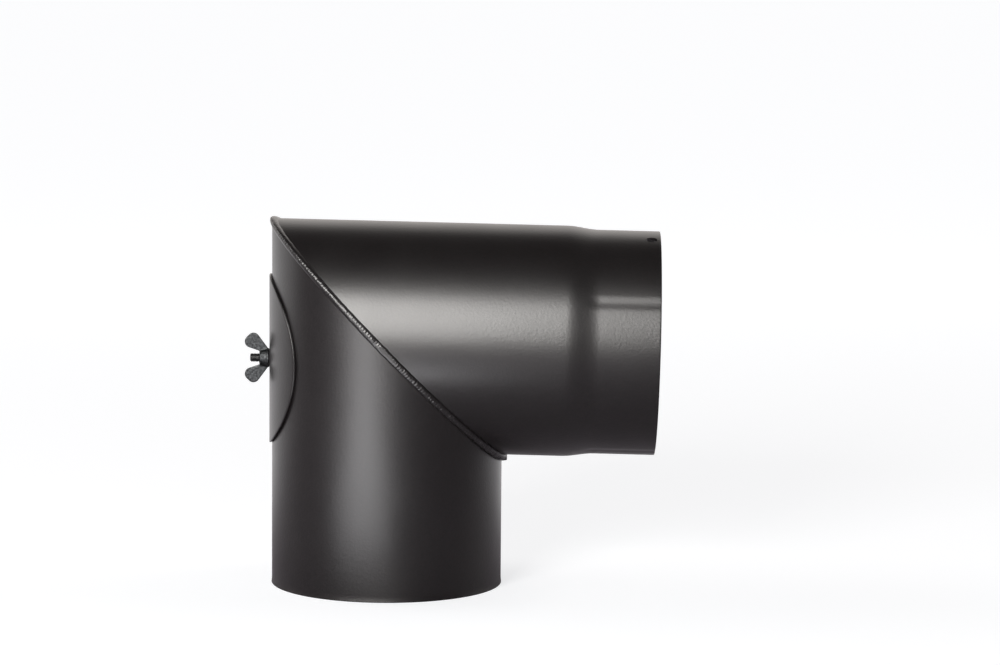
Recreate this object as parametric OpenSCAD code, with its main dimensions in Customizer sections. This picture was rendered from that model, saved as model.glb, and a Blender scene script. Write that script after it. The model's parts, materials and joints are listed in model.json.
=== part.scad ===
// Stove pipe elbow: two mitred legs of painted steel pipe, welded together, with a plain
// socket at the foot, a swaged spigot at the side and a clamped cover over a cleaning opening.
// The origin is the centre of the socket's rim, +Z is up and the spigot points to +X.

/* [Pipe] */
// Inside diameter of the legs, the size the elbow is sold by
bore_d = 150; // [120:1:190]
// Thickness of the steel
wall = 2; // [1.5:0.1:3]
// Angle between the two legs
bend_angle = 89; // [80:0.5:100]
// Height at which the two legs' axes cross
lower_leg = 166; // [138:1:220]
// Distance from that crossing to the spigot's rim
upper_leg = 180; // [150:1:240]

/* [Socket rim] */
// Height of the lip where the socket's rim opens outwards
lip_h = 4.5; // [2:0.5:10]
// How far the lip opens outwards
lip_out = 0.5; // [0.1:0.1:2]

/* [Spigot] */
// Length of the straight, narrowed end
spigot_length = 40; // [25:1:50]
// Length of the shoulder between the leg and the narrowed end
shoulder_length = 22; // [10:1:35]
// Gap all round between the spigot and a pipe pushed over it
spigot_gap = 0.25; // [0.1:0.05:1]
// Depth of the marks that the swaging jaws leave along the spigot
jaw_mark_depth = 0.3; // [0.2:0.05:0.6]
// Width of a jaw mark
jaw_mark_w = 9; // [4:0.5:11]

/* [Hanging hole] */
// Diameter of the hole by which the elbow hangs while it is painted
hanging_hole_d = 7.6; // [4:0.1:12]
// Distance from the spigot's rim to the hole's centre
hanging_hole_in = 6.2; // [6.2:0.1:20]
// Turn of the hole from the top of the spigot towards the front
hanging_hole_turn = 17; // [0:1:90]

/* [Weld] */
// Length of the weld along each leg, from the joint
weld_leg = 3.6; // [2:0.1:6]
// Height of the weld's crown over the joint
weld_crown = 1.1; // [0.5:0.1:2.5]

/* [Cleaning opening] */
// Diameter of the opening in the back of the lower leg
opening_d = 92; // [70:1:112]
// Distance of the opening's centre below the crossing of the axes
opening_drop = 15.2; // [5:0.1:40]

/* [Cover] */
// How far the cover laps over the edge of the opening
cover_lap = 10.5; // [5:0.5:14]
// Thickness of the cover's sheet
cover_t = 1.5; // [1:0.1:3]
// Gap between the cover and the pipe
cover_gap = 0.3; // [0.2:0.05:0.8]

/* [Clamp bar] */
// How far the bar reaches past the opening at each end
bar_lap = 14; // [8:1:25]
// Width of the bar
bar_w = 20; // [14:1:30]
// Thickness of the bar
bar_t = 2.5; // [2:0.1:5]
// Gap between the bar's long edges and the inside of the pipe
bar_gap = 0.15; // [0.05:0.05:0.5]

/* [Bolt] */
// Diameter of the bolt
bolt_d = 6; // [5:1:8]
// How far the bolt stands out past the wing nut
bolt_stand = 6.2; // [2:0.1:15]
// Diameter of the bolt's domed head
head_d = 16.4; // [12:0.1:24]
// Height of the domed head
head_h = 3.6; // [2:0.1:6]
// Gap around the bolt in the cover's hole
bolt_hole_gap = 0.5; // [0.3:0.1:2]

/* [Wing nut] */
// Distance over the tips of the wings
nut_span = 33.4; // [26:0.1:46]
// Height from the nut's base to the top of its wings
nut_h = 16.3; // [13:0.1:24]
// Height of the hub
hub_h = 6.4; // [4:0.1:10]
// Diameter of the hub at its base
hub_base_d = 13; // [10:0.1:18]
// Diameter of the hub at its outer end
hub_top_d = 10; // [9:0.1:15]
// Radius of the two corners of a wing's blunt end
wing_r = 4.1; // [3:0.1:6]
// How far a wing's end is cut off slantwise between its two corners
wing_slant = 1.7; // [0.5:0.1:3]
// Thickness of a wing
wing_t = 2.8; // [1.5:0.1:4]
// Gap between the nut's bore and the bolt
thread_gap = 0.05; // [0.01:0.01:0.1]
// Gap between the nut's base and the cover
nut_gap = 0.3; // [0.2:0.05:0.8]

/* [Hidden] */
paint = "#3c3c3d";
zinc = "#77797c";
blackened = "#232324";

// Fineness of the round surfaces
$fn = 96;
shoulder_steps = 16;
outline_steps = 96;
weld_steps = 144;
weld_profile_steps = 6;

pipe_ri = bore_d / 2;
pipe_ro = pipe_ri + wall;
// Slope of the joint between the legs, and the droop of the upper leg
mitre = (180 - bend_angle) / 2;
droop = 90 - bend_angle;
reach = 4 * pipe_ro;

spigot_r = pipe_ri - spigot_gap;
shoulder_end = upper_leg - spigot_length;
shoulder_start = shoulder_end - shoulder_length;
// Angles of the jaw marks above the horizontal, from the front over the top to the back
jaw_marks = [-67, 27, 115, 205];
// A wide round cutter leaves a mark of the wanted width and depth in the round spigot
jaw_cutter_r = 1 / (8 * jaw_mark_depth / (jaw_mark_w * jaw_mark_w) - 1 / spigot_r);

opening_z = lower_leg - opening_drop;
cover_ri = pipe_ro + cover_gap;
cover_ro = cover_ri + cover_t;
cover_r = opening_d / 2 + cover_lap;
bolt_hole_d = bolt_d + 2 * bolt_hole_gap;

bar_length = opening_d + 2 * bar_lap;
bar_outer = sqrt(pipe_ri * pipe_ri - bar_w * bar_w / 4) - bar_gap;
bar_inner = bar_outer - bar_t;
// The square neck under the bolt's head keeps it from turning in the bar
neck_gap = 0.1;
neck_w = bolt_d + neck_gap;
neck_h = bar_t + 0.5;

nut_base = cover_ro + nut_gap;
bolt_end = nut_base + hub_h + bolt_stand;
bolt_chamfer = 0.8;
// Centres of the two corners of a wing's end: the one farthest out and the highest one
wing_wide = [nut_span / 2 - wing_r, nut_h - wing_r - wing_slant];
wing_high = [nut_span / 2 - wing_r - wing_slant, nut_h - wing_r];

function unit(v) = v / norm(v);
// The share of the shoulder's drop that is done at a share s of its length
function ease(s) = (1 - cos(180 * s)) / 2;
function shoulder_r(s, full_r, end_r) = full_r - (full_r - end_r) * ease(s);
function shoulder_line(full_r, end_r) =
    [for (i = [0:shoulder_steps])
        [shoulder_r(i / shoulder_steps, full_r, end_r),
         shoulder_start + shoulder_length * i / shoulder_steps]];
function backwards(list) = [for (i = [len(list) - 1:-1:0]) list[i]];

// The joint's edge at the turn t around the lower leg. It is drawn a hair wide, so that the
// straight lengths between its points stay outside the round pipes.
weld_r = pipe_ro / cos(180 / weld_steps) + 0.02;
function seam(t) = [weld_r * cos(t), weld_r * sin(t), lower_leg - weld_r * cos(t) * tan(mitre)];
function lower_normal(t) = [cos(t), sin(t), 0];
function upper_axis() = [cos(droop), 0, -sin(droop)];
function from_upper_axis(p) =
    let (d = p - [0, 0, lower_leg]) d - (d * upper_axis()) * upper_axis();
function weld_normal(t) = unit(lower_normal(t) + unit(from_upper_axis(seam(t))));
// One section of the bead: its foot on the lower leg, its crown and its foot on the upper leg
function weld_section(t) =
    let (edge = seam(t),
         foot_a = edge + [0, 0, -weld_leg],
         foot_b = edge + weld_leg * upper_axis(),
         middle = (foot_a + foot_b) / 2,
         rise = weld_crown + 0.8 * max(0, (middle - edge) * weld_normal(t)),
         crown = edge + rise * weld_normal(t),
         pull = 2 * crown - middle)
    concat([edge], [for (i = [0:weld_profile_steps])
        let (s = i / weld_profile_steps)
        (1 - s) * (1 - s) * foot_a + 2 * s * (1 - s) * pull + s * s * foot_b]);

// A frame on the upper leg's axis: Z runs from the crossing to the spigot, X points down
module on_upper_leg() {
    translate([0, 0, lower_leg]) rotate([0, 90 + droop, 0]) children();
}

// A frame through the opening's centre: Z points out of the back of the pipe, X points up
module on_opening() {
    translate([0, 0, opening_z]) rotate([0, -90, 0]) children();
}

// Everything on the upper side of the joint between the legs
module above_mitre() {
    translate([0, 0, lower_leg]) rotate([0, mitre, 0])
        translate([-reach, -reach, 0]) cube([2 * reach, 2 * reach, 2 * reach]);
}

// Everything on the lower side of the joint between the legs
module below_mitre() {
    translate([0, 0, lower_leg]) rotate([0, mitre, 0])
        translate([-reach, -reach, -2 * reach]) cube([2 * reach, 2 * reach, 2 * reach]);
}

// Foot leg: plain tube with a lip at its rim, the cleaning opening in its back
module lower_pipe() {
    tall = lower_leg + pipe_ro * tan(mitre) + 1;
    color(paint) difference() {
        rotate_extrude() polygon([
            [pipe_ri + lip_out, 0], [pipe_ro + lip_out, 0],
            [pipe_ro, lip_h], [pipe_ro, tall],
            [pipe_ri, tall], [pipe_ri, lip_h]]);
        above_mitre();
        on_opening() cylinder(h = 2 * pipe_ro, d = opening_d);
    }
}

// A long round bar that grazes the spigot from outside and leaves one jaw mark
module jaw_cutter() {
    translate([spigot_r + jaw_cutter_r - jaw_mark_depth, 0, shoulder_end])
        cylinder(h = spigot_length + 1, r = jaw_cutter_r);
}

// Side leg: tube narrowed over a smooth shoulder to the spigot, with the jaw marks
module upper_pipe() {
    back = -(pipe_ro * tan(mitre) + 1);
    color(paint) difference() {
        on_upper_leg() difference() {
            rotate_extrude() polygon(concat(
                [[pipe_ri, back], [pipe_ro, back]],
                shoulder_line(pipe_ro, spigot_r),
                [[spigot_r, upper_leg], [spigot_r - wall, upper_leg]],
                backwards(shoulder_line(pipe_ri, spigot_r - wall))));
            for (angle = jaw_marks)
                rotate(180 + 90 - angle) jaw_cutter();
            rotate(180 + hanging_hole_turn) translate([0, 0, upper_leg - hanging_hole_in])
                rotate([0, 90, 0]) cylinder(h = 2 * spigot_r, d = hanging_hole_d, $fn = 32);
        }
        below_mitre();
    }
}

// Bead that runs around the whole joint
module mitre_weld() {
    ring = weld_profile_steps + 2;
    sections = [for (k = [0:weld_steps - 1]) weld_section(360 * k / weld_steps)];
    points = [for (section = sections) each section];
    faces = [for (k = [0:weld_steps - 1]) for (i = [0:ring - 1])
        let (a = k * ring, b = ((k + 1) % weld_steps) * ring, j = (i + 1) % ring)
        [a + i, b + i, b + j, a + j]];
    color(paint) polyhedron(points, faces, convexity = 4);
}

// Round sheet rolled to the pipe: its outline, seen from the front, is a disc bent round it
function cover_outline() =
    [for (i = [0:outline_steps - 1])
        let (turn = 360 * i / outline_steps,
             around = cover_r * sin(turn) / cover_ro * 180 / PI)
        [cover_r * cos(turn), cover_ro * sin(around)]];

module cleaning_cover() {
    color(paint) difference() {
        intersection() {
            cylinder(h = 2 * lower_leg, r = cover_ro);
            on_opening() linear_extrude(height = 2 * cover_ro) polygon(cover_outline());
        }
        translate([0, 0, -1]) cylinder(h = 2 * lower_leg + 2, r = cover_ri);
        on_opening() cylinder(h = 2 * cover_ro, d = bolt_hole_d);
    }
}

// Flat strip with round ends that bears on the inside of the pipe above and below the opening
module clamp_bar() {
    color(blackened) on_opening() difference() {
        translate([0, 0, bar_inner]) linear_extrude(height = bar_t) {
            square([bar_length - bar_w, bar_w], center = true);
            for (side = [-1, 1])
                translate([side * (bar_length - bar_w) / 2, 0]) circle(d = bar_w);
        }
        translate([0, 0, bar_inner - 1]) linear_extrude(height = bar_t + 2)
            square(neck_w + 2 * neck_gap, center = true);
    }
}

// Domed bolt whose square neck sits in the bar and whose thread stands out through the cover
module clamp_bolt() {
    dome_r = (head_d * head_d / 4 + head_h * head_h) / (2 * head_h);
    shank = bolt_end - bolt_chamfer - bar_inner;
    color(blackened) on_opening() translate([0, 0, bar_inner]) {
        intersection() {
            translate([0, 0, dome_r - head_h]) sphere(r = dome_r);
            translate([0, 0, -head_h]) cylinder(h = head_h, d = head_d + 1);
        }
        translate([-neck_w / 2, -neck_w / 2, 0]) cube([neck_w, neck_w, neck_h]);
        cylinder(h = shank, d = bolt_d);
        translate([0, 0, shank])
            cylinder(h = bolt_chamfer, d1 = bolt_d, d2 = bolt_d - 1.5 * bolt_chamfer);
    }
}

// Where a straight edge from the point p touches a round corner with its centre at c
function touch(p, c, side) =
    let (d = p - c,
         a = atan2(d[1], d[0]) + side * acos(wing_r / norm(d)))
    c + wing_r * [cos(a), sin(a)];

// One wing in the plane of its face: straight edges from the hub to a blunt end
module wing_outline() {
    root_low = [hub_base_d / 2 - 0.4, 0.6];
    root_high = [hub_top_d / 2 - 0.4, hub_h];
    out = wing_r * unit([1, 1]);
    translate(wing_wide) circle(r = wing_r);
    translate(wing_high) circle(r = wing_r);
    polygon([[bolt_d / 2, 0.6], root_low, touch(root_low, wing_wide, 1), wing_wide,
             wing_wide + out, wing_high + out, wing_high,
             touch(root_high, wing_high, -1), root_high, [bolt_d / 2, hub_h]]);
}

// Wing nut: a tapered hub with two upright wings, on the bolt's thread
module wing_nut() {
    color(zinc) on_opening() translate([0, 0, nut_base]) difference() {
        union() {
            cylinder(h = hub_h, d1 = hub_base_d, d2 = hub_top_d);
            for (side = [0, 1])
                mirror([side, 0, 0]) rotate([90, 0, 0])
                    linear_extrude(height = wing_t, center = true) wing_outline();
        }
        translate([0, 0, -1]) cylinder(h = nut_h, d = bolt_d + 2 * thread_gap);
    }
}

lower_pipe();
upper_pipe();
mitre_weld();
cleaning_cover();
clamp_bar();
clamp_bolt();
wing_nut();
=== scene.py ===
import json
import math

import bmesh
import bpy
from mathutils import Matrix, Vector, noise


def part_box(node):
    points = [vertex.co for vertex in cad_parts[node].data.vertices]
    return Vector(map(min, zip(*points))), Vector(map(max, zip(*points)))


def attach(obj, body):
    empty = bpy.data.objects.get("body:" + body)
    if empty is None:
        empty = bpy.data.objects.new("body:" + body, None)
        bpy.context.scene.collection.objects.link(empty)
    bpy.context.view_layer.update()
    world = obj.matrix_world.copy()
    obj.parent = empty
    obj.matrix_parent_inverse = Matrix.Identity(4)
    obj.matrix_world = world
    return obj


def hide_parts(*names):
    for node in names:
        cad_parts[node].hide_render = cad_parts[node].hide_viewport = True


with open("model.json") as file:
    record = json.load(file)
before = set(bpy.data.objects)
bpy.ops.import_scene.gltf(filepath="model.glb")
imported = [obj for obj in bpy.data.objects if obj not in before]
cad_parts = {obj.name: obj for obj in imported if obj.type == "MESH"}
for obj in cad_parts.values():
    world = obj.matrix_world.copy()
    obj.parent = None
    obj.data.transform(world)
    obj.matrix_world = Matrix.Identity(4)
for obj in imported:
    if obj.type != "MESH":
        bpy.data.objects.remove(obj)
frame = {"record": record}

bl_info = {
    "name": "Stove pipe elbow",
    "version": (1, 0, 0),
    "blender": (4, 5, 0),
    "location": "View3D > Sidebar > Elbow",
    "description": "Builds the looks of a welded stove pipe elbow around its fixed frame",
    "category": "Object",
}

MM = 0.001
# A point this near to a plane counts as on it
TOUCH = 0.01 * MM


def mount(name):
    """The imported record's mount of that name."""
    return next(m for m in frame["record"]["mounts"] if m["name"] == name)


def corners(node):
    """Lowest and highest corner of a node of the frame."""
    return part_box(node)


# Sizes that the frame gives, in metres
SPIGOT = mount("spigot")
SIDE_AXIS = Vector(SPIGOT["axis"]).normalized()
SPIGOT_MIDDLE = Vector(SPIGOT["pos_m"])
SPIGOT_R = SPIGOT["dims"]["r_mm"] * MM
SPIGOT_LENGTH = SPIGOT["dims"]["length_mm"] * MM
# The side leg's axis meets the lower leg's here, on the plane of the joint
CROSSING = SPIGOT_MIDDLE - SIDE_AXIS * (SPIGOT_MIDDLE.x / SIDE_AXIS.x)
SIDE_LENGTH = (SPIGOT_MIDDLE - CROSSING).length + SPIGOT_LENGTH / 2
DROOP = math.asin(-SIDE_AXIS.z)
MITRE_NORMAL = (SIDE_AXIS + Vector((0, 0, 1))).normalized()
LEG_R = corners("upper_pipe")[1].y
RIM_R = corners("lower_pipe")[1].y
COVER_LOW, COVER_HIGH = corners("cleaning_cover")
COVER_R = -COVER_LOW.x
COVER_CENTRE_Z = (COVER_LOW.z + COVER_HIGH.z) / 2
COVER_DISC_R = (COVER_HIGH.z - COVER_LOW.z) / 2
BAR_LOW, BAR_HIGH = corners("clamp_bar")
BOLT_LOW, BOLT_HIGH = corners("clamp_bolt")
NUT_LOW, NUT_HIGH = corners("wing_nut")
WELD_LOW, WELD_HIGH = corners("mitre_weld")
# Where the welder stopped or started: angle round the lower leg from the throat (degrees, the
# photographed side is negative), width in degrees, and how much higher and wider the bead is
# there (a negative height is the crater at the end of a run)
WELD_STOPS = ((180, 2.6, 0.04 * MM, 0.4 * MM), (-92, 1.6, 0.22 * MM, 0.2 * MM),
              (-95, 1.0, -0.3 * MM, 0.0), (-2, 3.2, 0.9 * MM, 0.9 * MM),
              (-9, 1.2, -0.4 * MM, 0.0), (84, 1.8, 0.2 * MM, 0.2 * MM))
# Angles of the swaging marks above the horizontal, from the front over the top to the back
JAW_MARKS = (-67, 27, 115, 205)
# The legs are made this much longer than to the crossing, and then cut off on the joint
SPARE = 1.1 * LEG_R
# Round that filing leaves on the sawn rims of the pipes
RIM_EASE = 0.3 * MM


class PipeSizes(bpy.types.PropertyGroup):
    """Sizes of the two legs that the frame doesn't give"""
    wall: bpy.props.FloatProperty(
        name="Wall", description="Thickness of the steel", default=2 * MM, unit="LENGTH")
    lip: bpy.props.FloatProperty(
        name="Lip", description="Height of the opened-out lip at the socket's rim",
        default=4.5 * MM, unit="LENGTH")
    shoulder: bpy.props.FloatProperty(
        name="Shoulder", description="Length over which the side leg narrows to its spigot",
        default=22 * MM, unit="LENGTH")
    jaw_mark: bpy.props.FloatProperty(
        name="Jaw mark", description="Depth of the marks that the swaging jaws left",
        default=0.35 * MM, unit="LENGTH")
    opening_r: bpy.props.FloatProperty(
        name="Opening radius", description="Radius of the cleaning opening",
        default=46 * MM, unit="LENGTH")
    hanging_hole_r: bpy.props.FloatProperty(
        name="Hanging hole radius", description="Radius of the hole near the spigot's rim",
        default=3.8 * MM, unit="LENGTH")
    hanging_hole_in: bpy.props.FloatProperty(
        name="Hanging hole inset", description="Distance from the spigot's rim to the hole",
        default=6.2 * MM, unit="LENGTH")
    hanging_hole_turn: bpy.props.FloatProperty(
        name="Hanging hole turn", description="Turn of the hole from the top to the front",
        default=math.radians(17), subtype="ANGLE")


class WeldSizes(bpy.types.PropertyGroup):
    """Sizes of the bead over the joint"""
    leg: bpy.props.FloatProperty(
        name="Leg", description="Length of the weld along each pipe",
        default=3.8 * MM, unit="LENGTH")
    crown: bpy.props.FloatProperty(
        name="Crown", description="Height of the weld over the joint",
        default=1.25 * MM, unit="LENGTH")
    ripple: bpy.props.FloatProperty(
        name="Ripple", description="Height of the ripples in the weld",
        default=0.08 * MM, unit="LENGTH")
    pitch: bpy.props.FloatProperty(
        name="Ripple pitch", description="Distance from one ripple to the next",
        default=2.0 * MM, unit="LENGTH")


class FinishColours(bpy.types.PropertyGroup):
    """Colours of the finishes and of the floor"""
    paint: bpy.props.StringProperty(
        name="Paint", description="Colour of the heat-resistant paint, sRGB hex",
        default="#120e0f")
    zinc: bpy.props.StringProperty(
        name="Wing nut", description="Colour of the wing nut's dull zinc, sRGB hex",
        default="#303132")
    blackened: bpy.props.StringProperty(
        name="Clamp", description="Colour of the blackened bolt and bar, sRGB hex",
        default="#0c0c0d")
    floor: bpy.props.StringProperty(
        name="Floor", description="Colour of the floor and backdrop, sRGB hex",
        default="#f4f5f7")


def linear(hex_code):
    """An sRGB hex colour as linear RGBA."""
    out = []
    for i in (1, 3, 5):
        c = int(hex_code[i:i + 2], 16) / 255
        out.append(c / 12.92 if c <= 0.04045 else ((c + 0.055) / 1.055) ** 2.4)
    return (*out, 1.0)


def add(tree, kind, settings=None, **links):
    """Adds one node.

    Settings are its properties, and its inputs by name or number: an input takes a value or
    another node's output. Links are more inputs by name, each with another node's output.
    """
    node = tree.nodes.new(kind)
    for key, value in (settings or {}).items():
        if isinstance(value, bpy.types.NodeSocket):
            tree.links.new(value, node.inputs[key])
        elif isinstance(key, str) and hasattr(node, key):
            setattr(node, key, value)
        else:
            node.inputs[key].default_value = value
    for key, source in links.items():
        tree.links.new(source, node.inputs[key.replace("_", " ")])
    return node


def new_material(name):
    """An empty node material and its tree."""
    material = bpy.data.materials.new(name)
    material.use_nodes = True
    material.node_tree.nodes.clear()
    return material, material.node_tree


# Noise seldom leaves this middle part of its range
NOISE_MIDDLE = {"From Min": 0.3, "From Max": 0.7}
# A Mix node that multiplies one colour, in input 6, by another, in input 7
MULTIPLY = {"data_type": "RGBA", "blend_type": "MULTIPLY", 0: 1.0}


def stove_paint(colour):
    """Heat-resistant silicone paint with fine metallic pigment, sprayed on blasted steel and baked.

    It gives the eye a deep satin with a broad, soft highlight, and a fine sparkle of pigment.
    """
    material, tree = new_material("heat_resistant_stove_paint")
    place = add(tree, "ShaderNodeTexCoord").outputs["Object"]
    # The flakes of pigment are under 0.1 mm, too fine to show, so they are drawn at 1.5 mm
    pigment = add(tree, "ShaderNodeTexNoise", {"Scale": 1 / (1.5 * MM), "Detail": 2.0},
                  Vector=place)
    # Each pass of the spray leaves patches a few centimetres wide
    cloud = add(tree, "ShaderNodeTexNoise", {"Scale": 1 / (45 * MM), "Detail": 3.0},
                Vector=place)
    # Orange peel, at about its real width
    peel = add(tree, "ShaderNodeTexNoise", {"Scale": 1 / (2.2 * MM), "Detail": 1.0},
               Vector=place)
    tint = add(tree, "ShaderNodeMapRange", {**NOISE_MIDDLE, "To Min": 0.75, "To Max": 1.35},
               Value=pigment.outputs["Fac"])
    shade = add(tree, "ShaderNodeMix",
                {**MULTIPLY, 6: linear(colour), 7: tint.outputs["Result"]})
    rough = add(tree, "ShaderNodeMapRange", {**NOISE_MIDDLE, "To Min": 0.33, "To Max": 0.37},
                Value=cloud.outputs["Fac"])
    bump_peel = add(tree, "ShaderNodeBump", {"Strength": 0.2, "Distance": 0.14 * MM},
                    Height=peel.outputs["Fac"])
    bump = add(tree, "ShaderNodeBump", {"Strength": 0.5, "Distance": 0.12 * MM},
               Height=pigment.outputs["Fac"], Normal=bump_peel.outputs["Normal"])
    shader = add(tree, "ShaderNodeBsdfPrincipled", Base_Color=shade.outputs[2],
                 Roughness=rough.outputs["Result"], Normal=bump.outputs["Normal"])
    add(tree, "ShaderNodeOutputMaterial", Surface=shader.outputs["BSDF"])
    return material


def dull_zinc(colour):
    """Hot-pressed steel, zinc plated and gone dull.

    It gives the eye a dark grey metal with soft edges, small pits and a broken shine.
    """
    material, tree = new_material("dull_zinc_plate")
    place = add(tree, "ShaderNodeTexCoord").outputs["Object"]
    # Pits of the pressing are about 0.3 mm wide, and are drawn at 0.9 mm to show
    pits = add(tree, "ShaderNodeTexNoise", {"Scale": 1 / (0.9 * MM), "Detail": 3.0},
               Vector=place)
    # Dull and clear spots of the plating, some dozens on a wing
    spots = add(tree, "ShaderNodeTexNoise", {"Scale": 1 / (1.4 * MM), "Detail": 2.0},
                Vector=place)
    rough = add(tree, "ShaderNodeMapRange", {**NOISE_MIDDLE, "To Min": 0.4, "To Max": 0.55},
                Value=pits.outputs["Fac"])
    bump = add(tree, "ShaderNodeBump", {"Strength": 1.0, "Distance": 0.2 * MM},
               Height=pits.outputs["Fac"])
    tint = add(tree, "ShaderNodeMapRange",
               {"From Min": 0.35, "From Max": 0.65, "To Min": 0.4, "To Max": 1.35},
               Value=spots.outputs["Fac"])
    shade = add(tree, "ShaderNodeMix",
                {**MULTIPLY, 6: linear(colour), 7: tint.outputs["Result"]})
    shader = add(tree, "ShaderNodeBsdfPrincipled", {"Metallic": 1.0},
                 Base_Color=shade.outputs[2], Roughness=rough.outputs["Result"],
                 Normal=bump.outputs["Normal"])
    add(tree, "ShaderNodeOutputMaterial", Surface=shader.outputs["BSDF"])
    return material


def blackened_steel(colour):
    """Drawn steel, blackened in a hot salt bath and oiled.

    It gives the eye an almost black, oily satin with a fine even grain.
    """
    material, tree = new_material("black_oxide_steel")
    place = add(tree, "ShaderNodeTexCoord").outputs["Object"]
    # The grain of the oxide is far under 0.1 mm, too fine to show, so it is drawn at 1.5 mm
    grain = add(tree, "ShaderNodeTexNoise", {"Scale": 1 / (1.5 * MM), "Detail": 3.0},
                Vector=place)
    rough = add(tree, "ShaderNodeMapRange", {**NOISE_MIDDLE, "To Min": 0.36, "To Max": 0.52},
                Value=grain.outputs["Fac"])
    bump = add(tree, "ShaderNodeBump", {"Strength": 0.15, "Distance": 0.05 * MM},
               Height=grain.outputs["Fac"])
    shader = add(tree, "ShaderNodeBsdfPrincipled",
                 {"Base Color": linear(colour), "Specular IOR Level": 0.3},
                 Roughness=rough.outputs["Result"], Normal=bump.outputs["Normal"])
    add(tree, "ShaderNodeOutputMaterial", Surface=shader.outputs["BSDF"])
    return material


def pipe_paint(context):
    """The paint of the pipes, the weld and the cover, made for the first of them."""
    return (bpy.data.materials.get("heat_resistant_stove_paint")
            or stove_paint(context.scene.elbow_colours.paint))


def finish_piece(bm, name, body, node, material, sharp=35):
    """Turns a bmesh into a piece of the object that stands for a node of the frame.

    Edges at which the surface turns by more than sharp, in degrees, aren't shaded smooth.
    """
    bmesh.ops.recalc_face_normals(bm, faces=bm.faces)
    mesh = bpy.data.meshes.new(name)
    bm.to_mesh(mesh)
    bm.free()
    mesh.shade_smooth()
    mesh.set_sharp_from_angle(angle=math.radians(sharp))
    mesh.materials.append(material)
    piece = bpy.data.objects.new(name, mesh)
    bpy.context.scene.collection.objects.link(piece)
    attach(piece, body)
    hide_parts(node)
    return piece


def spun(profile, steps):
    """A bmesh made by turning a closed profile of (radius, height) points round Z.

    One eighth is spun and then doubled three times, which is far quicker than a full spin.
    """
    bm = bmesh.new()
    verts = [bm.verts.new((r, 0, z)) for r, z in profile]
    edges = [bm.edges.new(p) for p in zip(verts, verts[1:] + verts[:1])]
    bmesh.ops.spin(bm, geom=verts + edges, cent=(0, 0, 0), axis=(0, 0, 1),
                   angle=math.pi / 4, steps=steps // 8)
    for angle in (math.pi / 4, math.pi / 2, math.pi):
        copied = bmesh.ops.duplicate(bm, geom=bm.verts[:] + bm.edges[:] + bm.faces[:])["geom"]
        bmesh.ops.rotate(bm, cent=(0, 0, 0), matrix=Matrix.Rotation(angle, 3, "Z"),
                         verts=[g for g in copied if isinstance(g, bmesh.types.BMVert)])
    bmesh.ops.remove_doubles(bm, verts=bm.verts, dist=1e-6)
    on_axis = [e for e in bm.edges if not e.link_faces]
    bmesh.ops.delete(bm, geom=on_axis, context="EDGES")
    return bm


def join(bm, other):
    """Adds another bmesh's shape to this one."""
    mesh = bpy.data.meshes.new("joined")
    other.to_mesh(mesh)
    other.free()
    bm.from_mesh(mesh)
    bpy.data.meshes.remove(mesh)


def spread(start, stop, step):
    """Evenly spaced values from start to stop, both included, about a step apart."""
    count = max(1, round(abs(stop - start) / step))
    return [start + (stop - start) * i / count for i in range(count + 1)]


def smooth(x):
    """Rises smoothly from 0 to 1 as x does."""
    x = min(1.0, max(0.0, x))
    return (1 - math.cos(math.pi * x)) / 2


def cut_mitre(bm, keep_below):
    """Cuts a leg off on the plane of the joint and closes the cut wall."""
    cut = bmesh.ops.bisect_plane(
        bm, geom=bm.verts[:] + bm.edges[:] + bm.faces[:], dist=1e-7,
        plane_co=CROSSING, plane_no=MITRE_NORMAL,
        clear_outer=keep_below, clear_inner=not keep_below)
    edges = [e for e in cut["geom_cut"] if isinstance(e, bmesh.types.BMEdge)]
    bmesh.ops.bridge_loops(bm, edges=edges)


def cut_round_hole(bm, to_flat, from_flat, radius):
    """Opens a round hole through a pipe's wall.

    to_flat gives a point's place across the hole's axis as seen along it, or None on the far
    side, and from_flat puts a vertex back on its own wall at a place across the axis.
    """
    inside = []
    for face in bm.faces:
        spot = to_flat(face.calc_center_median())
        if spot is not None and spot.length < radius:
            inside.append(face)
    bmesh.ops.delete(bm, geom=inside, context="FACES")
    rim = [e for e in bm.edges if e.is_boundary]
    for vert in {v for e in rim for v in e.verts}:
        spot = to_flat(vert.co)
        from_flat(vert, spot.normalized() * radius)
    bmesh.ops.bridge_loops(bm, edges=rim)


def sharp_edges(bm, angle):
    """The edges at which the surface turns by more than an angle in degrees."""
    return [e for e in bm.edges if e.calc_face_angle(0) > math.radians(angle)]


def ease(bm, edges, width, segments=3):
    """Rounds edges a little, as filing or tumbling leaves them."""
    bmesh.ops.bevel(bm, geom=edges, offset=width, offset_type="OFFSET", affect="EDGES",
                    segments=segments, profile=0.5, material=-1)


def ease_rim(bm, at_rim):
    """Rounds the sawn edges of a pipe's rim, whose points at_rim tells from the others."""
    rim = [e for e in sharp_edges(bm, angle=40) if all(at_rim(v.co) for v in e.verts)]
    ease(bm, rim, RIM_EASE)


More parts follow.
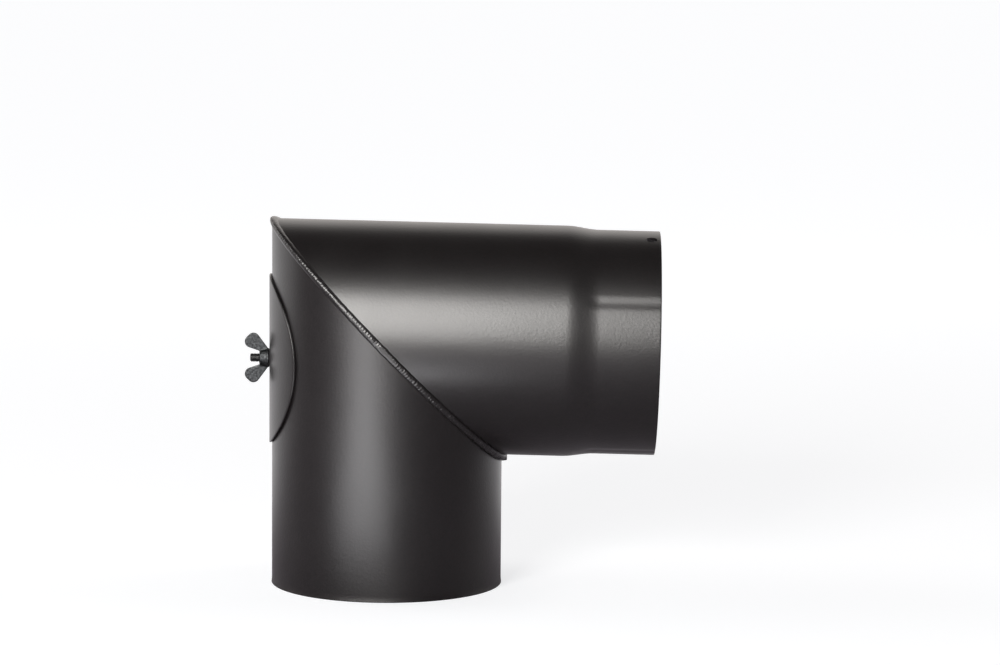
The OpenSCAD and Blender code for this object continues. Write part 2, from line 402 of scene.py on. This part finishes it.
class ELBOW_OT_lower_pipe(bpy.types.Operator):
    """Foot leg with its opened-out rim and the cleaning opening in its back"""
    bl_idname = "elbow.lower_pipe"
    bl_label = "Lower pipe"

    def execute(self, context):
        sizes = context.scene.elbow_pipe
        inner_r = LEG_R - sizes.wall
        # The lip curves out, and so ends a little inside the frame's
        lip_out = 0.7 * (RIM_R - LEG_R)
        heights = (spread(0, sizes.lip, step=0.9 * MM)
                   + spread(sizes.lip, CROSSING.z + SPARE, step=3 * MM)[1:])

        def opened(z):
            return lip_out * max(0.0, 1 - z / sizes.lip) ** 2

        outer = [(LEG_R + opened(z), z) for z in heights]
        inner = [(inner_r + opened(z), z) for z in reversed(heights)]
        bm = spun(outer + inner, steps=288)
        cut_mitre(bm, keep_below=True)

        def to_flat(p):
            if p.x > 0:
                return None
            scale = LEG_R / math.hypot(p.x, p.y)
            return Vector((p.y * scale, p.z - COVER_CENTRE_Z))

        def from_flat(vert, spot):
            wall_r = math.hypot(vert.co.x, vert.co.y)
            vert.co = (-math.sqrt(wall_r ** 2 - spot.x ** 2), spot.x, COVER_CENTRE_Z + spot.y)

        cut_round_hole(bm, to_flat, from_flat, sizes.opening_r)
        ease_rim(bm, lambda p: p.z < TOUCH)
        finish_piece(bm, "lower_pipe_shell", "elbow", "lower_pipe",
                     pipe_paint(context))
        return {"FINISHED"}


class ELBOW_OT_upper_pipe(bpy.types.Operator):
    """Side leg, narrowed over a smooth shoulder to the spigot, with jaw marks and hanging hole"""
    bl_idname = "elbow.upper_pipe"
    bl_label = "Upper pipe"

    def execute(self, context):
        sizes = context.scene.elbow_pipe
        straight = SIDE_LENGTH - SPIGOT_LENGTH
        start = straight - sizes.shoulder
        lengths = (spread(-SPARE, start, step=4 * MM)
                   + spread(start, straight, step=1.2 * MM)[1:]
                   + spread(straight, SIDE_LENGTH, step=1.2 * MM)[1:])

        def radius(s):
            return LEG_R - (LEG_R - SPIGOT_R) * smooth((s - start) / sizes.shoulder)

        outer = [(radius(s), s) for s in lengths]
        inner = [(radius(s) - sizes.wall, s) for s in reversed(lengths)]
        bm = spun(outer + inner, steps=384)
        self.press_jaw_marks(bm, straight - sizes.shoulder / 2, straight, sizes.jaw_mark)
        self.cut_hanging_hole(bm, sizes)
        ease_rim(bm, lambda p: p.z > SIDE_LENGTH - TOUCH)
        # The leg is made upright and laid down on its own axis, with its local X to the ground
        lay = Matrix.Translation(CROSSING) @ Matrix.Rotation(math.pi / 2 + DROOP, 4, "Y")
        bmesh.ops.transform(bm, matrix=lay, verts=bm.verts)
        cut_mitre(bm, keep_below=False)
        finish_piece(bm, "upper_pipe_shell", "elbow", "upper_pipe",
                     pipe_paint(context))
        return {"FINISHED"}

    def press_jaw_marks(self, bm, begin, full, depth):
        """Long shallow valleys where the swaging jaws left the sheet between them.

        They begin on the shoulder, have their full depth at its end and run on to the rim.
        """
        half_width = math.radians(4.2)
        # The leg still stands upright, with its later underside at 0 and its front at 270 degrees
        marks = [math.radians(270 - a) for a in JAW_MARKS]
        for v in bm.verts:
            along = smooth((v.co.z - begin) / (full - begin))
            if along == 0:
                continue
            turn = math.atan2(v.co.y, v.co.x)
            for mark in marks:
                off = (turn - mark + math.pi) % (2 * math.pi) - math.pi
                if abs(off) < half_width:
                    pressed = depth * along * (1 + math.cos(math.pi * off / half_width)) / 2
                    r = math.hypot(v.co.x, v.co.y)
                    v.co.x *= (r - pressed) / r
                    v.co.y *= (r - pressed) / r

    def cut_hanging_hole(self, bm, sizes):
        """The hole by which the elbow hangs while it is painted."""
        turn = math.pi + sizes.hanging_hole_turn
        out = Vector((math.cos(turn), math.sin(turn), 0))
        side = Vector((-out.y, out.x, 0))
        centre_s = SIDE_LENGTH - sizes.hanging_hole_in

        def to_flat(p):
            flat = Vector((p.x, p.y, 0))
            if flat.dot(out) < 0:
                return None
            return Vector((flat.normalized().dot(side) * SPIGOT_R, p.z - centre_s))

        def from_flat(vert, spot):
            wall_r = math.hypot(vert.co.x, vert.co.y)
            reach = math.sqrt(wall_r ** 2 - spot.x ** 2)
            vert.co = out * reach + side * spot.x + Vector((0, 0, centre_s + spot.y))

        cut_round_hole(bm, to_flat, from_flat, sizes.hanging_hole_r)


def joint_edge(turn):
    """The point of the joint's outer edge at a turn round the lower leg."""
    x, y = LEG_R * math.cos(turn), LEG_R * math.sin(turn)
    z = CROSSING.z - x * MITRE_NORMAL.x / MITRE_NORMAL.z
    return Vector((x, y, z))


def joint_normal(turn):
    """The direction midway between the two pipes' outward normals there."""
    edge = joint_edge(turn)
    lower = Vector((math.cos(turn), math.sin(turn), 0))
    out = edge - CROSSING
    upper = (out - SIDE_AXIS * out.dot(SIDE_AXIS)).normalized()
    return (lower + upper).normalized()


class ELBOW_OT_mitre_weld(bpy.types.Operator):
    """Bead that closes the joint of the two legs, with its ripples and its start and stop"""
    bl_idname = "elbow.mitre_weld"
    bl_label = "Mitre weld"

    def execute(self, context):
        sizes = context.scene.elbow_weld
        across, steps = 12, 1800
        skin_r, root_r, root_depth = 1.0, 0.5, 0.2 * MM
        # A ring of plain sections: the place across the bead is kept in the vertex's height, and
        # one point further in becomes the bead's root
        bm = spun([(skin_r, i) for i in range(across + 1)] + [(root_r, across / 2)], steps)
        sections, run, last = [], 0.0, None
        for k in range(steps):
            turn = 2 * math.pi * k / steps
            edge = joint_edge(turn)
            run += (edge - last).length if last else 0.0
            last = edge
            sections.append(self.section(turn, edge, run / sizes.pitch, sizes))
        for v in bm.verts:
            k = round(math.atan2(v.co.y, v.co.x) / (2 * math.pi) * steps) % steps
            if math.hypot(v.co.x, v.co.y) < (skin_r + root_r) / 2:
                foot_a, foot_b, normal = sections[k][:3]
                v.co = (foot_a + foot_b) / 2 - normal * root_depth
            else:
                v.co = self.surface_point(sections[k], v.co.z / across, sizes.ripple)
        finish_piece(bm, "mitre_weld_bead", "elbow", "mitre_weld",
                     pipe_paint(context), sharp=70)
        return {"FINISHED"}

    def section(self, turn, edge, phase, sizes):
        """One section of the bead: its two feet, its normal, its rise and its ripple's phase."""
        normal = joint_normal(turn)
        around = Vector((math.cos(turn), math.sin(turn), 0))
        # The welder's hand isn't even: it drifts slowly and shakes quickly
        drift, swell, hurry, shake = (noise.noise(around * fine) for fine in (4, 9, 12, 25))
        leg = sizes.leg * (1 + 0.10 * drift + 0.07 * shake)
        rise = sizes.crown * (1 + 0.15 * swell)
        for place, width, more_rise, more_leg in WELD_STOPS:
            off = (turn - math.radians(place) + math.pi) % (2 * math.pi) - math.pi
            near = math.exp(-(off / math.radians(width)) ** 2)
            rise += more_rise * near
            leg += more_leg * near
        foot_a = edge + Vector((0, 0, -leg))
        foot_b = edge + SIDE_AXIS * leg
        # Over the heel the bead covers the corner, and in the throat it fills it a little more
        sag = max(0.0, (edge - (foot_a + foot_b) / 2).dot(normal))
        fill = max(0.0, ((foot_a + foot_b) / 2 - edge).dot(normal))
        return foot_a, foot_b, normal, rise + sag + 0.2 * fill, phase + 0.5 * hurry

    def surface_point(self, section, s, ripple):
        """A point of the bead's skin: s runs over it from the lower leg to the side leg."""
        foot_a, foot_b, normal, rise, phase = section
        point = foot_a.lerp(foot_b, s)
        # 0 at the feet and 1 on the crest
        crest = 4 * s * (1 - s)
        # The ripples trail back at the feet, as the pool froze there last
        trail = 0.5 * (2 * s - 1) ** 2
        wave = math.cos(2 * math.pi * (phase + trail))
        # Fine lumps, 1.6 mm apart, ride on wider and lower ones, 5 mm apart
        lump = noise.noise(point / (1.6 * MM)) + 0.7 * noise.noise(point / (5 * MM))
        lump_h, foot_depth, fullness = 0.2 * MM, 0.05 * MM, 0.7
        point += normal * (rise * crest ** fullness + crest * (ripple * wave + lump_h * lump)
                           - foot_depth * (1 - crest))
        # The highest lumps end where the frame's bead does
        return Vector(max(a, min(b, p)) for a, b, p in zip(WELD_LOW, WELD_HIGH, point))


class ELBOW_OT_cleaning_cover(bpy.types.Operator):
    """Round sheet rolled to the pipe's curve over the cleaning opening"""
    bl_idname = "elbow.cleaning_cover"
    bl_label = "Cleaning cover"

    def execute(self, context):
        thickness, hole_r, edge_round = 1.5 * MM, 3.5 * MM, 0.35 * MM
        radii = spread(hole_r, COVER_DISC_R, step=2 * MM)
        # A flat washer, then each point is carried round the pipe as when the sheet is rolled
        low = [(r, 0.0) for r in radii]
        high = [(r, thickness) for r in reversed(radii)]
        bm = spun(low + high, steps=160)
        ease(bm, sharp_edges(bm, angle=60), edge_round)
        inner_r = COVER_R - thickness
        for v in bm.verts:
            around = v.co.x / COVER_R
            out = inner_r + v.co.z
            v.co = (-out * math.cos(around), out * math.sin(around),
                    COVER_CENTRE_Z + v.co.y)
        finish_piece(bm, "cover_plate", "cover", "cleaning_cover",
                     pipe_paint(context))
        return {"FINISHED"}


def outward():
    """Lays an upright piece of the clamp down, so that its Z points out of the pipe's back."""
    return (Matrix.Translation((0, 0, COVER_CENTRE_Z))
            @ Matrix.Rotation(-math.pi / 2, 4, "Y"))


class ELBOW_OT_clamp(bpy.types.Operator):
    """Bar and bolt that hold the cover from inside the pipe"""
    bl_idname = "elbow.clamp"
    bl_label = "Clamp bar and bolt"

    def execute(self, context):
        black = blackened_steel(context.scene.elbow_colours.blackened)
        self.make_bar(black)
        self.make_bolt(black)
        return {"FINISHED"}

    def make_bar(self, black):
        """Flat strip with round ends and a square hole for the bolt's neck."""
        hole_w, edge_round = 6.5 * MM, 0.35 * MM
        width = BAR_HIGH.y - BAR_LOW.y
        length = BAR_HIGH.z - BAR_LOW.z
        low, high = -BAR_HIGH.x, -BAR_LOW.x
        bm = bmesh.new()
        ring = bmesh.ops.create_circle(bm, cap_ends=False, segments=64, radius=width / 2)["verts"]
        for v in ring:
            if abs(v.co.x) > TOUCH:
                v.co.x += math.copysign((length - width) / 2, v.co.x)
        hole = bmesh.ops.create_circle(bm, cap_ends=False, segments=4,
                                       radius=hole_w / 2 * math.sqrt(2))["verts"]
        bmesh.ops.rotate(bm, verts=hole, cent=(0, 0, 0),
                         matrix=Matrix.Rotation(math.pi / 4, 3, "Z"))
        bmesh.ops.triangle_fill(bm, use_beauty=True, edges=bm.edges[:])
        for v in bm.verts:
            v.co.z = low
        top = bmesh.ops.extrude_face_region(bm, geom=bm.faces[:])["geom"]
        for v in top:
            if isinstance(v, bmesh.types.BMVert):
                v.co.z = high
        bmesh.ops.recalc_face_normals(bm, faces=bm.faces)
        ease(bm, sharp_edges(bm, angle=60), edge_round, segments=2)
        bmesh.ops.transform(bm, matrix=outward(), verts=bm.verts)
        finish_piece(bm, "clamp_strip", "elbow", "clamp_bar", black)

    def make_bolt(self, black):
        """Coach bolt: domed head, square neck, and the threaded shank with its chamfered end."""
        head_r = (BOLT_HIGH.y - BOLT_LOW.y) / 2
        seat = -BAR_HIGH.x
        head_h = BOLT_HIGH.x + seat
        end = -BOLT_LOW.x
        neck_w, neck_h = 6.1 * MM, 3 * MM
        thread_r, root_r, pitch = 2.95 * MM, 2.5 * MM, 1.0 * MM
        dome_r = (head_r ** 2 + head_h ** 2) / (2 * head_h)
        fall = math.asin(head_r / dome_r)
        arcs = 12
        dome = [(dome_r * math.sin(fall * i / arcs), seat - head_h + dome_r
                 - dome_r * math.cos(fall * i / arcs)) for i in range(1, arcs + 1)]
        bm = spun([(0, seat - head_h)] + dome + [(0, seat)], steps=64)
        neck = bmesh.ops.create_cube(bm, size=1)["verts"]
        bmesh.ops.scale(bm, vec=(neck_w, neck_w, neck_h), verts=neck)
        bmesh.ops.translate(bm, vec=(0, 0, seat + neck_h / 2), verts=neck)
        # The core starts inside the neck
        core_start, chamfer_w, chamfer_h = seat + 1 * MM, 0.45 * MM, 0.5 * MM
        join(bm, spun([(0, core_start), (root_r, core_start), (root_r, end - chamfer_h),
                       (root_r - chamfer_w, end), (0, end)], steps=48))
        # Thread: one ridge wound round the core, from past the neck to short of the chamfer
        first, last = seat + 4 * MM, end - 0.7 * MM
        turns = int((last - first) / pitch)
        foot_r = root_r - 0.1 * MM
        # The ridge's section: each point's radius, and its height as a share of the pitch
        ridge = [(foot_r, 0.04), (thread_r, 0.42), (thread_r, 0.58), (foot_r, 0.96)]
        thread = bmesh.new()
        verts = [thread.verts.new((r, 0, first + z * pitch)) for r, z in ridge]
        edges = [thread.edges.new(p) for p in zip(verts, verts[1:] + verts[:1])]
        steps = 32
        bmesh.ops.spin(thread, geom=verts + edges, cent=(0, 0, 0), axis=(0, 0, 1),
                       dvec=(0, 0, pitch / steps), angle=2 * math.pi * turns,
                       steps=steps * turns)
        ends = [e for e in thread.edges if e.is_boundary]
        bmesh.ops.holes_fill(thread, edges=ends, sides=4)
        join(bm, thread)
        bmesh.ops.transform(bm, matrix=outward(), verts=bm.verts)
        finish_piece(bm, "coach_bolt", "elbow", "clamp_bolt", black)


class ELBOW_OT_wing_nut(bpy.types.Operator):
    """Wing nut with rounded wings on a tapered hub"""
    bl_idname = "elbow.wing_nut"
    bl_label = "Wing nut"

    def execute(self, context):
        base, top = -NUT_HIGH.x, -NUT_LOW.x
        half_span = (NUT_HIGH.z - NUT_LOW.z) / 2
        bore_r, hub_h, base_r, top_r = 3.05 * MM, 6.4 * MM, 6.45 * MM, 5.05 * MM
        # Width and height of the hub's soft edges at its base and at its top
        base_in, base_up, top_in, top_down = 0.25 * MM, 0.3 * MM, 0.35 * MM, 0.4 * MM
        bm = spun([(bore_r, 0), (base_r - base_in, 0), (base_r, base_up),
                   (top_r, hub_h - top_down), (top_r - top_in, hub_h), (bore_r, hub_h)],
                  steps=64)
        for side in (1, -1):
            self.add_wing(bm, side, half_span, top - base, hub_h)
        # Hub and wings melt into one casting with soft inner corners
        mesh = bpy.data.meshes.new("wing_nut_rough")
        bm.to_mesh(mesh)
        bm.free()
        rough = bpy.data.objects.new("wing_nut_rough", mesh)
        context.scene.collection.objects.link(rough)
        melt = rough.modifiers.new("melt", "REMESH")
        melt.mode = "VOXEL"
        melt.voxel_size = 0.22 * MM
        evened = rough.modifiers.new("even", "SMOOTH")
        evened.factor = 0.5
        evened.iterations = 16
        graph = context.evaluated_depsgraph_get()
        cast = bmesh.new()
        cast.from_object(rough, graph)
        bpy.data.objects.remove(rough)
        bpy.data.meshes.remove(mesh)
        bmesh.ops.translate(cast, vec=(0, 0, base), verts=cast.verts)
        bmesh.ops.transform(cast, matrix=outward(), verts=cast.verts)
        finish_piece(cast, "wing_nut_casting", "nut", "wing_nut",
                     dull_zinc(context.scene.elbow_colours.zinc))
        return {"FINISHED"}

    def add_wing(self, bm, side, half_span, height, hub_h):
        """One wing: straight edges from the hub to a blunt end, in the plane of X and Z."""
        # The blunt end slants inwards at 45 degrees, from one round corner up to the other
        corner_r, slant, thickness = 4.1 * MM, 1.7 * MM, 2.8 * MM
        # The wing's root lies inside the hub's wall
        root_x = 3.3 * MM
        wide = Vector((half_span - corner_r, height - corner_r - slant))
        high = Vector((half_span - corner_r - slant, height - corner_r))
        # Where its lower and its upper edge leave the hub
        low_root, high_root = Vector((6.1 * MM, 0.6 * MM)), Vector((4.6 * MM, hub_h))

        def touch(p, centre, sense):
            """Angle at which a line from p meets the round corner about centre."""
            d = p - centre
            return math.atan2(d.y, d.x) + sense * math.acos(corner_r / d.length)

        def arc(centre, start, stop):
            return [centre + corner_r * Vector((math.cos(a), math.sin(a)))
                    for a in spread(start, stop, step=math.radians(6))]

        points = [Vector((root_x, low_root.y)), low_root]
        points += arc(wide, touch(low_root, wide, 1), math.pi / 4)
        points += arc(high, math.pi / 4, touch(high_root, high, -1) % (2 * math.pi))
        points += [high_root, Vector((root_x, high_root.y))]
        face = bm.faces.new([bm.verts.new((side * p.x, -thickness / 2, p.y)) for p in points])
        out = bmesh.ops.extrude_face_region(bm, geom=[face])["geom"]
        bmesh.ops.translate(bm, vec=(0, thickness, 0),
                            verts=[g for g in out if isinstance(g, bmesh.types.BMVert)])


# The lamps: name, azimuth and elevation from the object (degrees, 0 is the camera's side and
# positive turns to +X), distance, width and height in metres, watts, what each one lights, and
# its colour
LAMPS = (
    ("front_softbox", -21, 26, 1.25, 1.0, 0.95, 55, "glossy", (1.0, 0.985, 0.955)),
    ("left_key", -22, 17, 2.0, 0.7, 0.7, 36, "diffuse", (1.0, 1.0, 1.0)),
    ("back_right_softbox", 105, 38, 1.5, 0.8, 0.8, 5, "both", (1.0, 1.0, 1.0)),
    ("back_left_softbox", -105, 38, 1.5, 0.8, 0.8, 5, "both", (1.0, 1.0, 1.0)),
)
# The point that the lamps face, about the middle of the object
LAMPS_AIM = (0.08, 0, 0.15)
# The bright part of the table, which only reflections show: its azimuth in degrees, its start,
# its end, its width and its height over the floor in metres, its brightness and its colour
PATCH_TURN, PATCH_START, PATCH_END, PATCH_WIDTH, PATCH_Z = -20, 0.26, 1.3, 0.30, 0.003
PATCH_LEVEL, PATCH_COLOUR = 7.0, (0.98, 0.98, 1.0)
# Elevations in degrees between which the white wall behind the object fades out
WALL_TOP = (30, 44)
# Brightness of the wall and of the rest of the room as surfaces see them, and their colour
WALL, ROOM, ROOM_COLOUR = 1.35, 0.04, (1.0, 0.95, 0.91, 1)
# Radius of the floor in metres, then what the camera sees of it: its own brightness near the
# object and far behind it, and the share of the lamps' light that it adds
FLOOR_R, FLOOR_GLOW, FLOOR_FAR_GLOW, FLOOR_SHARE = 30, 0.75, 0.95, 0.42
# How pale the lit floor round the object is in reflections
FLOOR_MIRRORED = (0.43, 0.4, 0.44, 1)
# A Map Range node that eases from one value to the other
EASED = {"interpolation_type": "SMOOTHSTEP"}


def seen_directly(tree):
    """1 for what the camera sees, also through something clear, and 0 for all other rays."""
    path = add(tree, "ShaderNodeLightPath").outputs
    either = add(tree, "ShaderNodeMath", {"operation": "MAXIMUM", 0: path["Is Camera Ray"],
                                          1: path["Is Transmission Ray"]})
    return either.outputs["Value"]


def area_lamp(context, name, width, height, power, colour):
    """A rectangular lamp that the camera doesn't see, still at the origin and facing down."""
    data = bpy.data.lights.new(name, "AREA")
    data.shape = "RECTANGLE"
    data.size, data.size_y = width, height
    data.energy = power
    data.color = colour
    lamp = bpy.data.objects.new(name, data)
    lamp.visible_camera = False
    context.scene.collection.objects.link(lamp)
    return lamp


class ELBOW_OT_stage(bpy.types.Operator):
    """Floor, lamps and camera"""
    bl_idname = "elbow.stage"
    bl_label = "Stage"

    def execute(self, context):
        self.make_floor(context)
        self.make_world(context)
        for lamp in LAMPS:
            self.make_softbox(context, *lamp)
        self.make_bright_paper(context)
        self.make_camera(context)
        context.scene.view_settings.view_transform = "Standard"
        return {"FINISHED"}

    def make_floor(self, context):
        """A white table so wide that its edge is nowhere in view."""
        bm = bmesh.new()
        bmesh.ops.create_circle(bm, cap_ends=True, segments=64, radius=FLOOR_R)
        mesh = bpy.data.meshes.new("white_floor")
        bm.to_mesh(mesh)
        bm.free()
        mesh.materials.append(self.floor_material(context.scene.elbow_colours.floor))
        floor = bpy.data.objects.new("white_floor", mesh)
        context.scene.collection.objects.link(floor)

    def floor_material(self, colour):
        """Matt white paper: it shows white to the camera and keeps the object's shadow."""
        material, tree = new_material("matt_white_paper")
        place = add(tree, "ShaderNodeTexCoord").outputs["Object"]
        split = add(tree, "ShaderNodeSeparateXYZ", Vector=place)
        # To the camera it grows a little brighter from 0.2 to 2 m behind the object
        level = add(tree, "ShaderNodeMapRange",
                    {**EASED, "From Min": 0.2, "From Max": 2.0, "To Min": FLOOR_GLOW,
                     "To Max": FLOOR_FAR_GLOW}, Value=split.outputs["Y"])
        glow = add(tree, "ShaderNodeEmission", {"Color": linear(colour)},
                   Strength=level.outputs["Result"])
        faint = add(tree, "ShaderNodeBsdfDiffuse",
                    {"Color": (FLOOR_SHARE, FLOOR_SHARE, FLOOR_SHARE, 1)})
        seen = add(tree, "ShaderNodeAddShader", {0: glow.outputs[0], 1: faint.outputs[0]})
        # In reflections it turns from dimly lit to white over the first 0.5 m behind the object
        behind = add(tree, "ShaderNodeMapRange",
                     {**EASED, "From Min": 0.06, "From Max": 0.5, "To Min": 0.0, "To Max": 1.0},
                     Value=split.outputs["Y"])
        far = add(tree, "ShaderNodeEmission", Strength=behind.outputs["Result"])
        near = add(tree, "ShaderNodeBsdfDiffuse", {"Color": FLOOR_MIRRORED})
        mirrored = add(tree, "ShaderNodeAddShader", {0: far.outputs[0], 1: near.outputs[0]})
        paper = add(tree, "ShaderNodeBsdfDiffuse", {"Color": linear(colour)})
        path = add(tree, "ShaderNodeLightPath")
        unseen = add(tree, "ShaderNodeMixShader", {0: path.outputs["Is Glossy Ray"],
                                                   1: paper.outputs[0], 2: mirrored.outputs[0]})
        mix = add(tree, "ShaderNodeMixShader",
                  {0: seen_directly(tree), 1: unseen.outputs[0], 2: seen.outputs[0]})
        add(tree, "ShaderNodeOutputMaterial", Surface=mix.outputs[0])
        return material

    def make_world(self, context):
        """White to the camera; surfaces see a white wall low behind the object and a dim room."""
        world = bpy.data.worlds.new("studio")
        context.scene.world = world
        world.use_nodes = True
        tree = world.node_tree
        tree.nodes.clear()
        way = add(tree, "ShaderNodeSeparateXYZ",
                  Vector=add(tree, "ShaderNodeTexCoord").outputs["Generated"])
        fade_start, fade_end = (math.sin(math.radians(a)) for a in WALL_TOP)
        low = add(tree, "ShaderNodeMapRange",
                  {**EASED, "From Min": fade_end, "From Max": fade_start,
                   "To Min": 0.0, "To Max": 1.0}, Value=way.outputs["Z"])
        behind = add(tree, "ShaderNodeMapRange",
                     {**EASED, "From Min": -0.3, "From Max": 0.3,
                      "To Min": 0.0, "To Max": WALL - ROOM}, Value=way.outputs["Y"])
        wall = add(tree, "ShaderNodeMath", {"operation": "MULTIPLY", 0: low.outputs["Result"],
                                            1: behind.outputs["Result"]})
        level = add(tree, "ShaderNodeMath", {"operation": "ADD", 0: wall.outputs["Value"],
                                             1: ROOM})
        dim = add(tree, "ShaderNodeBackground", {"Color": ROOM_COLOUR},
                  Strength=level.outputs["Value"])
        white = add(tree, "ShaderNodeBackground", {"Color": (1, 1, 1, 1), "Strength": 1.0})
        mix = add(tree, "ShaderNodeMixShader",
                  {0: seen_directly(tree), 1: dim.outputs[0], 2: white.outputs[0]})
        add(tree, "ShaderNodeOutputWorld", Surface=mix.outputs[0])

    def make_softbox(self, context, name, azimuth, elevation, distance, width, height, power,
                     lights, colour):
        """One area lamp that faces the object and lights gloss, matt colour or both."""
        a, e = math.radians(azimuth), math.radians(elevation)
        back = Vector((math.sin(a) * math.cos(e), -math.cos(a) * math.cos(e), math.sin(e)))
        lamp = area_lamp(context, name, width, height, power, colour)
        lamp.location = Vector(LAMPS_AIM) + back * distance
        lamp.rotation_euler = back.to_track_quat("Z", "Y").to_euler()
        lamp.visible_diffuse = lights != "glossy"
        lamp.visible_glossy = lights != "diffuse"

    def make_bright_paper(self, context):
        """The bright part of the table under the front softbox, as reflections see it."""
        length = PATCH_END - PATCH_START
        power = PATCH_LEVEL * math.pi * PATCH_WIDTH * length
        lamp = area_lamp(context, "bright_paper", PATCH_WIDTH, length, power, PATCH_COLOUR)
        turn = math.radians(PATCH_TURN)
        middle = (PATCH_START + PATCH_END) / 2
        lamp.location = (middle * math.sin(turn), -middle * math.cos(turn), PATCH_Z)
        # It shines upwards
        lamp.rotation_euler = (math.pi, 0, turn)
        lamp.visible_diffuse = False

    def make_camera(self, context):
        """Long lens from in front, a little above, as the photograph was taken."""
        aim, distance = Vector((75.2, 0, 169.1)) * MM, 2.5
        look_down, yaw, roll = math.radians(7.23), math.radians(0.31), math.radians(0.47)
        turn = (Matrix.Rotation(yaw, 4, "Z")
                @ Matrix.Rotation(math.pi / 2 - look_down, 4, "X")
                @ Matrix.Rotation(roll, 4, "Z"))
        data = bpy.data.cameras.new("photo_view")
        data.sensor_width = 36
        data.lens = 134.68
        data.clip_end = 100
        camera = bpy.data.objects.new("photo_view", data)
        camera.matrix_world = Matrix.Translation(aim) @ turn @ Matrix.Translation((0, 0, distance))
        context.scene.collection.objects.link(camera)
        context.scene.camera = camera


class ELBOW_PT_panel(bpy.types.Panel):
    """Lists the elbow's sizes, colours and pieces"""
    bl_idname = "ELBOW_PT_panel"
    bl_label = "Stove pipe elbow"
    bl_space_type = "VIEW_3D"
    bl_region_type = "UI"
    bl_category = "Elbow"

    def draw(self, context):
        scene = context.scene
        for group in (scene.elbow_pipe, scene.elbow_weld, scene.elbow_colours):
            box = self.layout.box()
            for key in group.bl_rna.properties.keys():
                if key not in {"rna_type", "name"}:
                    box.prop(group, key)
        for operator in PIECES:
            self.layout.operator(operator.bl_idname)


PIECES = (ELBOW_OT_lower_pipe, ELBOW_OT_upper_pipe, ELBOW_OT_mitre_weld,
          ELBOW_OT_cleaning_cover, ELBOW_OT_clamp, ELBOW_OT_wing_nut, ELBOW_OT_stage)
CLASSES = (PipeSizes, WeldSizes, FinishColours, *PIECES, ELBOW_PT_panel)


def register():
    for cls in CLASSES:
        bpy.utils.register_class(cls)
    bpy.types.Scene.elbow_pipe = bpy.props.PointerProperty(type=PipeSizes)
    bpy.types.Scene.elbow_weld = bpy.props.PointerProperty(type=WeldSizes)
    bpy.types.Scene.elbow_colours = bpy.props.PointerProperty(type=FinishColours)


def unregister():
    del bpy.types.Scene.elbow_colours
    del bpy.types.Scene.elbow_weld
    del bpy.types.Scene.elbow_pipe
    for cls in reversed(CLASSES):
        bpy.utils.unregister_class(cls)


def main():
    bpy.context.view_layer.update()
    register()
    bpy.ops.elbow.lower_pipe()
    bpy.ops.elbow.upper_pipe()
    bpy.ops.elbow.mitre_weld()
    bpy.ops.elbow.cleaning_cover()
    bpy.ops.elbow.clamp()
    bpy.ops.elbow.wing_nut()
    bpy.ops.elbow.stage()


if __name__ == "__main__":
    main()
